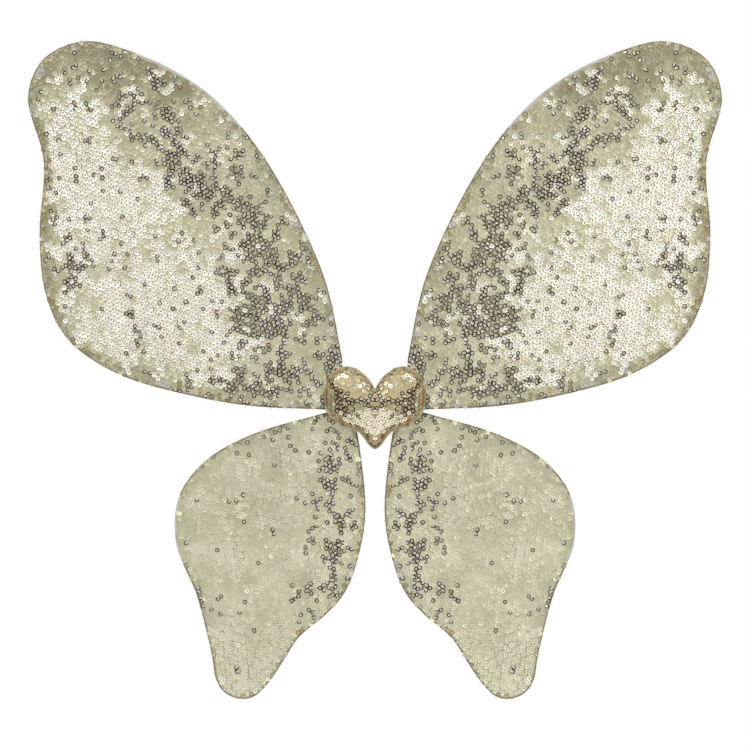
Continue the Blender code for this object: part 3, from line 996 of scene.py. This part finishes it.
def add_binding(label, wing, side):
    """The rolled edge over the wire: grey satin where it shows, khaki under the sequins elsewhere."""
    rings = []
    slots = []
    sides = 8
    for i, (p, n) in enumerate(zip(wing.outline.loop, wing.outline.normals)):
        centre = p + n * BINDING_RADIUS * 0.9
        middle = (wing.front(tuple(p + n * 1.2)) + wing.back(tuple(p + n * 1.2))) / 2
        half = (wing.front(tuple(p + n * 1.2)) - wing.back(tuple(p + n * 1.2))) / 2 + 0.1
        plump = 1 + 0.05 * math.sin(i * 1.9)
        ring = []
        for k in range(sides):
            angle = 2 * math.pi * (k + 0.5) / sides
            out = centre + n * BINDING_RADIUS * plump * math.cos(angle)
            ring.append((out.x, middle + half * plump * math.sin(angle), out.y))
        rings.append(ring)
        slots += [0 if wing.satin_edge(tuple(p)) else 1] * sides
    verts, faces = swept(rings, True)
    verts, faces = sided(verts, faces, side)
    piece = make_piece(label + "_edge", verts, faces, [grey_satin, khaki_edge], True, slots)
    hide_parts(label + "_wire_casing")
    return piece


FRAY_SPACING = 2.3
FRAY_RADIUS = 0.09


def add_fray(label, wing, side, seed):
    """Loose ends of the sequins' sewing thread, standing off the rolled edge."""
    rng = random.Random(seed)
    parts = []
    edge = Outline(smooth_loop(wing.outline.loop, FRAY_SPACING))
    for p, n in zip(edge.loop, edge.normals):
        if wing.satin_edge(tuple(p)) or heart_covers(tuple(p)):
            continue
        outward = Vector((-n.x, rng.uniform(-0.3, 0.6), -n.y))
        along = Vector((n.y, 0, -n.x)) * rng.uniform(-1.2, 1.2)
        start = Vector((p.x + n.x * 0.5, 7.8 if wing.past(p) > 0 else 8.4, p.y + n.y * 0.5))
        heading = (outward + along).normalized() * rng.uniform(0.35, 0.75)
        curl = Vector((rng.uniform(-0.2, 0.2), rng.uniform(-0.15, 0.3), rng.uniform(-0.2, 0.2)))
        rings = []
        for k, taper in enumerate((1.0, 0.9, 0.7, 0.35)):
            middle = start + heading * k + curl * (k * k * 0.35)
            rings.append([
                tuple(middle + Vector((math.cos(a), math.sin(a), math.sin(a + 1))) * FRAY_RADIUS * taper)
                for a in (0, 2.1, 4.2)
            ])
        parts.append(swept(rings, False))
    verts, faces = sided(*joined(parts), side)
    piece = make_piece(label + "_loose_threads", verts, faces, [gold_thread])
    return piece


def add_seam_stitches(label, wing, side):
    """The line of stitching that closes the casing, on the lining side."""
    inset = 5.6
    line = [p + n * inset for p, n in zip(wing.outline.loop, wing.outline.normals)]
    line = [q for q in line if wing.depth_in(tuple(q))[0] > inset * 0.97]
    spacing = STITCH_LENGTH + STITCH_GAP
    parts = []
    run = 0.0
    for a, b in zip(line, line[1:]):
        step = (b - a).length
        if step > 4 * EDGE_STEP:
            run = 0.0
            continue
        run += step
        if run < spacing:
            continue
        run = 0.0
        depth_a = wing.back(tuple(a))
        depth_b = wing.back(tuple(b))
        along = Vector((b.x - a.x, depth_b - depth_a, b.y - a.y)).normalized()
        place = Vector((b.x, depth_b - CLOTH_THICK / 2, b.y))
        parts.append(stitch(place, along, Vector((0, -1, 0))))
    verts, faces = joined(parts)
    verts, faces = sided(verts, faces, side)
    piece = make_piece(label + "_casing_stitches", verts, faces, [cream_thread])
    return piece


# ---------------------------------------------------------------- the heart

HEART_STEP = 1.5
heart_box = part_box("heart_cover")
backing_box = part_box("heart_backing")


def heart_loop():
    """The heart's rim: the backing's outline grown to the cover's box."""
    loop = plate_loop("heart_backing")
    wide = (heart_box[1].x - heart_box[0].x) / (backing_box[1].x - backing_box[0].x)
    tall = (heart_box[1].z - heart_box[0].z) / (backing_box[1].z - backing_box[0].z)
    base = backing_box[0].z / MM
    return [Vector((p.x * wide, heart_box[0].z / MM + (p.y - base) * tall)) for p in loop]


HEART = Outline(smooth_loop(heart_loop(), HEART_STEP))
heart_fine = Outline(smooth_loop(heart_loop(), 0.4))


def heart_covers(p):
    """True where the heart hides a wing's root."""
    return heart_fine.depth_in((abs(p[0]), p[1]))[0] > 2.5


RIM_DEPTH = 12.6
HEART_ROLL = 1.3
HEART_PITCH = 2.8
HEART_LIFT = (0.3, 0.7)
COVER_CLEAR = 0.2
cad_cover = BVHTree.FromObject(frame["nodes"]["heart_cover"], bpy.context.evaluated_depsgraph_get())


def heart_floor(p):
    """Depth that the face must clear: the CAD cover, with the wadding inside it."""
    hit, *_ = cad_cover.ray_cast(Vector((p[0] * MM, -0.1, p[1] * MM)), Vector((0, 1, 0)))
    return RIM_DEPTH if hit is None else -hit.y / MM + COVER_CLEAR


PUFF_SCALE = 10.0
PUFF_FRAMES = 20
PUFF_PRESSURE = 14.0
PUFF_CAP = 1.0


def puffed(front, faces, fixed):
    """Inflates the sewn-down face with a cloth simulation, held at the rim, and returns its places."""
    scale = MM * PUFF_SCALE
    mesh = bpy.data.meshes.new("puff")
    mesh.from_pydata([(x * scale, -depth * scale, z * scale) for x, depth, z in front], [], faces)
    sheet = bpy.data.objects.new("puff", mesh)
    bpy.context.scene.collection.objects.link(sheet)
    rim = sheet.vertex_groups.new(name="rim")
    rim.add([i for i, held in enumerate(fixed) if held], 1.0, "REPLACE")
    cloth_modifier = sheet.modifiers.new("cloth", "CLOTH")
    settings = cloth_modifier.settings
    settings.quality = 8
    settings.vertex_group_mass = "rim"
    settings.use_pressure = True
    settings.uniform_pressure_force = PUFF_PRESSURE
    settings.tension_stiffness = 15
    settings.compression_stiffness = 15
    settings.bending_stiffness = 0.5
    settings.effector_weights.gravity = 0
    cloth_modifier.collision_settings.use_collision = False
    for frame_number in range(1, PUFF_FRAMES + 1):
        bpy.context.scene.frame_set(frame_number)
    shaped = sheet.evaluated_get(bpy.context.evaluated_depsgraph_get()).to_mesh()
    places = []
    for before, vertex in zip(front, shaped.vertices):
        x, y, z = vertex.co / scale
        move = Vector((x, -y, z)) - Vector(before)
        if move.length > PUFF_CAP:
            move *= PUFF_CAP / move.length
        places.append(Vector(before) + move)
    bpy.data.objects.remove(sheet)
    bpy.data.meshes.remove(mesh)
    bpy.context.scene.frame_set(1)
    return places


def relaxed_heart(points, faces, fixed, passes=40):
    """The face's depths: over the wadding everywhere, and evened out where it would crease."""
    floor = [heart_floor(tuple(p)) for p in points]
    neighbours = [set() for _ in points]
    for f in faces:
        for a, b in zip(f, f[1:] + f[:1]):
            neighbours[a].add(b)
            neighbours[b].add(a)
    depths = list(floor)
    for _ in range(passes):
        depths = [
            low if held else max(low, sum(depths[k] for k in near) / len(near))
            for low, held, near in zip(floor, fixed, neighbours)
        ]
    return depths


def add_heart():
    points, triangles = filled(HEART, (0.6, 1.4, 2.4, 3.6), 2.2, 91)
    faces = [tuple(f) for f in triangles]
    fixed = [heart_fine.depth_in(tuple(p))[0] < 0.9 for p in points]
    depths = relaxed_heart(points, faces, fixed)
    front = [(p.x, d, p.y) for p, d in zip(points, depths)]
    places = puffed(front, faces, fixed)
    front = [(q.x, max(q.y, heart_floor((q.x, q.z))), q.z) for q in places]
    back = [(p.x, RIM_DEPTH - 0.5, p.y) for p in points]
    count = len(points)
    skin = [tuple(f) for f in faces] + [tuple(count + i for i in reversed(f)) for f in faces]
    skin += [(a, count + a, count + b, b) for a, b in boundary_edges(faces)]
    cover = make_piece("heart_padded_cover", front + back, skin, [tan_cloth])
    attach(cover, "centre")
    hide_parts("heart_cover")

    surface = BVHTree.FromPolygons([Vector(v) for v in front], faces)
    verts, faces, slots = sequin_mesh(heart_sequins(surface), 23, HEART_LIFT)
    other_verts, other_faces = flipped(verts, faces)
    verts, faces = joined([(verts, faces), (other_verts, other_faces)])
    sequins = make_piece("heart_sequins", verts, faces, coatings, True, slots + slots)
    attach(sequins, "centre")
    add_heart_roll()
    add_heart_backing()


def heart_sequins(surface):
    """Places, axes and shares for the sequins of the heart's right half."""
    rng = random.Random(17)
    _, high_x, low_z, high_z = HEART.size()
    placed = []
    for x, z in scattered((SEQUIN_RADIUS * 0.75, high_x, low_z, high_z), HEART_PITCH, rng):
        inside, _ = heart_fine.depth_in((x, z))
        hit, normal, *_ = surface.ray_cast(Vector((x, 60, z)), Vector((0, -1, 0)))
        if inside < 0.5 or hit is None:
            continue
        over_roll = HEART_ROLL ** 2 - (inside - HEART_ROLL * 0.75) ** 2
        if over_roll > 0:
            hit.y = max(hit.y, RIM_DEPTH + math.sqrt(over_roll))
        placed.append((hit, normal if normal.y > 0 else -normal, heart_shares(x, z, inside)))
    return placed


def boundary_edges(faces):
    """Directed edges that belong to one face only."""
    seen = set()
    for f in faces:
        seen |= set(zip(f, f[1:] + f[:1]))
    return [(a, b) for a, b in seen if (b, a) not in seen]


# Where the heart has painted dark reflections and painted highlights.
HEART_PAINTED_DARK_PATH = ((0, 2.5), (8, 2), (14, 0.5), (20, 1.5), (22.5, 6), (26, 12))
HEART_PAINTED_HIGHLIGHT_PATH = ((0, -12), (7, -11), (14, -8), (20, -4.5), (24, 1))
HEART_PAINTED_HIGHLIGHTS = ((0.8, (23, 17), (3.4, 1.1)), (0.7, (9, 11.9), (0.9, 0.9)), (0.8, (0, -14), (6, 4)))


def heart_shares(x, z, inside):
    middle = ramp01(inside, 2.0, 4.5)
    dark = 0.85 * near_path(x, z, HEART_PAINTED_DARK_PATH, 2.9) + 0.9 * blob(x, z, (17, 16.5), (1.0, 1.0))
    dark += 0.4 * blob(x, z, (12, -4), (2.0, 1.5))
    bright = 1.1 * near_path(x, z, HEART_PAINTED_HIGHLIGHT_PATH, 2.6)
    bright += sum(share * blob(x, z, at, spread) for share, at, spread in HEART_PAINTED_HIGHLIGHTS)
    return {
        "family": "heart_", "dark": min(0.92, dark * middle), "bright": min(0.95, bright * middle),
        "pale": 0.05, "amber": 0.0, "edge": 0.06 + 0.4 * (1 - middle),
    }


def add_heart_roll():
    """The overlocked rim: one fat roll with the thread's wraps standing up on it."""
    loop = smooth_loop(heart_loop(), 0.28)
    outline = Outline(loop)
    rings = []
    slots = []
    sides = 10
    for i, (p, n) in enumerate(zip(outline.loop, outline.normals)):
        wrap = 1 + 0.09 * math.cos(2 * math.pi * i * 0.28 / 0.85)
        uneven = 1 + 0.08 * noise.noise(Vector((p.x / 4, p.y / 4, 2.5)))
        radius = HEART_ROLL * wrap * uneven
        centre = p + n * HEART_ROLL * 0.75
        ring = []
        for k in range(sides):
            angle = 2 * math.pi * k / sides
            out = centre + n * radius * math.cos(angle)
            ring.append((out.x, RIM_DEPTH + radius * math.sin(angle), out.y))
        rings.append(ring)
    verts, faces = swept(rings, True)
    piece = make_piece("heart_overlocked_edge", verts, faces, [heart_thread])
    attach(piece, "centre")
    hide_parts("heart_edge_trim")


def pillow_plate(name, loop, near, far, bulge, materials, step=1.6, pitch=2.6):
    """A thick soft plate with a rounded edge: felt, between two depths."""
    outline = Outline(smooth_loop(loop, step))
    points, triangles = filled(outline, (0.25, 0.7, 1.4), pitch, 7)
    half = (far - near) / 2
    middle = (far + near) / 2
    faces = [tuple(f) for f in triangles]
    front = []
    back = []
    for p in points:
        inside = max(0.0, outline.depth_in(tuple(p))[0])
        round_off = math.sqrt(max(0.0, 1 - (1 - min(1.0, inside / bulge)) ** 2))
        grain = noise.noise(Vector((p.x / 2.5, p.y / 2.5, 4.5))) * 0.05
        front.append((p.x, middle + half * (0.25 + 0.75 * round_off) + grain, p.y))
        back.append((p.x, middle - half * (0.25 + 0.75 * round_off) + grain * 0.5, p.y))
    count = len(points)
    skin = faces + [tuple(count + i for i in reversed(f)) for f in faces]
    skin += [(a, count + a, count + b, b) for a, b in boundary_edges(faces)]
    return make_piece(name, front + back, skin, materials)


def add_heart_backing():
    near, far = depth_range("heart_backing")
    piece = pillow_plate("heart_felt_backing", plate_loop("heart_backing"), near, far, 0.7, [felt])
    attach(piece, "centre")
    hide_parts("heart_backing")


def depth_range(node):
    low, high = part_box(node)
    return -high.y / MM, -low.y / MM


# ---------------------------------------------------------------- the wearer's side

WHIP_SPACING = 3.0
WHIP_LENGTH = 2.6


def add_back_pad():
    near, far = depth_range("back_pad")
    loop = plate_loop("back_pad")
    pad = pillow_plate("back_felt_pad", loop, near, far, 1.2, [felt])
    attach(pad, "centre")
    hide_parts("back_pad")
    outline = Outline(smooth_loop(loop, WHIP_SPACING))
    parts = []
    for p, n in zip(outline.loop, outline.normals):
        place = Vector((p.x + n.x * 1.3, near + 0.12, p.y + n.y * 1.3))
        slant = Vector((n.x - n.y * 0.35, 0, n.y + n.x * 0.35)).normalized()
        parts.append(stitch(place, slant, Vector((0, -1, 0)), WHIP_LENGTH, 0.2))
    verts, faces = joined(parts)
    stitches = make_piece("back_pad_whip_stitches", verts, faces, [gold_thread])
    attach(stitches, "centre")


def stitch_line(a, b, depth, spacing=2.1, length=1.6):
    """Stitches in a straight line at one depth, on the wearer's side."""
    along = (b - a).normalized()
    count = max(1, int((b - a).length / spacing))
    parts = []
    for i in range(count):
        p = a.lerp(b, (i + 0.5) / count)
        place = Vector((p.x, depth, p.y))
        parts.append(stitch(place, Vector((along.x, 0, along.y)), Vector((0, -1, 0)), length, 0.17))
    return parts


def add_tab(side_name):
    node = side_name + "_strap_tab"
    near, far = depth_range(node)
    loop = plate_loop(node)
    tab = pillow_plate(side_name + "_felt_tab", loop, near, far, 0.6, [felt], step=1.0, pitch=1.6)
    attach(tab, "centre")
    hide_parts(node)
    xs = [p.x for p in loop]
    zs = [p.y for p in loop]
    margin = 1.6
    corners = [
        Vector((min(xs) + margin, min(zs) + margin)), Vector((max(xs) - margin, min(zs) + margin)),
        Vector((max(xs) - margin, max(zs) - margin)), Vector((min(xs) + margin, max(zs) - margin)),
    ]
    lines = list(zip(corners, corners[1:] + corners[:1]))
    lines += [(corners[0], corners[2]), (corners[1], corners[3])]
    parts = [s for a, b in lines for s in stitch_line(a, b, near + 0.03)]
    verts, faces = joined(parts)
    stitches = make_piece(side_name + "_tab_box_stitches", verts, faces, [gold_thread])
    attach(stitches, "centre")


STRAP_RIBS = 8
RIB_HEIGHT = 0.12


def side_loops(node):
    """The outer and inner outlines of a strap's edge, each in order, as (depth, z)."""
    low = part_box(node)[0]
    bm = bmesh.new()
    bm.from_mesh(frame["nodes"][node].data)
    bmesh.ops.remove_doubles(bm, verts=bm.verts, dist=1e-6)
    walls = {v: [] for v in bm.verts if abs(v.co.x - low.x) < 1e-5}
    for edge in bm.edges:
        a, b = edge.verts
        if a not in walls or b not in walls:
            continue
        flats = [f for f in edge.link_faces if abs(f.normal.x) > 0.9]
        if 0 < len(flats) < len(edge.link_faces):
            walls[a].append(b)
            walls[b].append(a)
    loops = []
    done = set()
    for start in walls:
        if start in done:
            continue
        loop = [start]
        before, here = start, walls[start][0]
        while here is not start:
            loop.append(here)
            before, here = here, next(v for v in walls[here] if v is not before)
        done.update(loop)
        loops.append([Vector((-v.co.y / MM, v.co.z / MM)) for v in loop])
    bm.free()
    return loops


def add_strap(side_name):
    """Ribbed elastic: flat webbing with cords running along it and a picked edge."""
    node = side_name + "_strap"
    loops = [Outline(smooth_loop(loop, 1.0)) for loop in side_loops(node)]
    loops.sort(key=lambda o: abs(area_of(o.loop)))
    inner, outer = loops
    middle = []
    for p in outer.loop:
        _, i = inner.depth_in(tuple(p))
        middle.append((p + inner.loop[i]) / 2)
    path = Outline(smooth_loop(middle[::2], 1.0))
    low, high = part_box(node)
    left, right = low.x / MM, high.x / MM
    half = 0.45
    across = 4 * STRAP_RIBS
    rings = []
    for i, (p, n) in enumerate(zip(path.loop, path.normals)):
        ring = []
        crimp = 0.03 * math.sin(i * 1.3)
        for sign in (1, -1):
            for k in range(across + 1):
                t = k / across if sign > 0 else 1 - k / across
                edge = min(1.0, min(t, 1 - t) * 14)
                rib = RIB_HEIGHT * abs(math.sin(math.pi * t * STRAP_RIBS))
                lift = sign * (half * (0.45 + 0.55 * edge) + rib * edge + crimp)
                q = p + n * lift
                ring.append((left + (right - left) * t, q.x, q.y))
        rings.append(ring)
    verts, faces = swept(rings, True)
    piece = make_piece(side_name + "_elastic_loop", verts, faces, [elastic])
    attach(piece, side_name + "_arm_loop")
    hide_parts(node)


def finish_cad_nodes():
    """Better materials for the CAD pieces that stay."""
    for name, obj in frame["nodes"].items():
        if name.endswith(("_frame_wire", "_wire_tail")):
            material = steel
        elif name == "centre_binding":
            material = cotton_tape
        elif name == "heart_wadding":
            material = wadding
        else:
            continue
        obj.data.materials.clear()
        obj.data.materials.append(material)


# ---------------------------------------------------------------- build

def upper_satin(p):
    """The stretch of the upper wing's top edge where its grey satin tape shows."""
    x, z = abs(p[0]), p[1]
    return 84 < x < 150 and z > 0.95 * x + 72


def lower_satin(p):
    """The stretch of the lower wing's outer edge where the tape shows."""
    x, z = abs(p[0]), p[1]
    return x > 117 and -100 < z < -58


add_camera()
add_world()
bpy.context.scene.view_settings.view_transform = "Standard"
add_floor()
add_light("key", (-0.9, -2.0, 1.6), 1.6, 16)
add_light("fill", (1.2, -1.6, 0.5), 1.4, 7)
add_light("rear", (0.4, 1.8, 1.4), 1.6, 14)

upper = Wing("upper", upper_shares, upper_satin)
lower = Wing("lower", lower_shares, lower_satin)
for facing in (1, -1):
    add_wing(upper, facing, 100)
    add_wing(lower, facing, 200)
add_heart()
add_back_pad()
for side_label in ("right", "left"):
    add_tab(side_label)
    add_strap(side_label)
finish_cad_nodes()

boxes = {"cad": cad_box, "visual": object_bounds()}
{name: [[float(v) for v in corner] for corner in box] for name, box in boxes.items()}
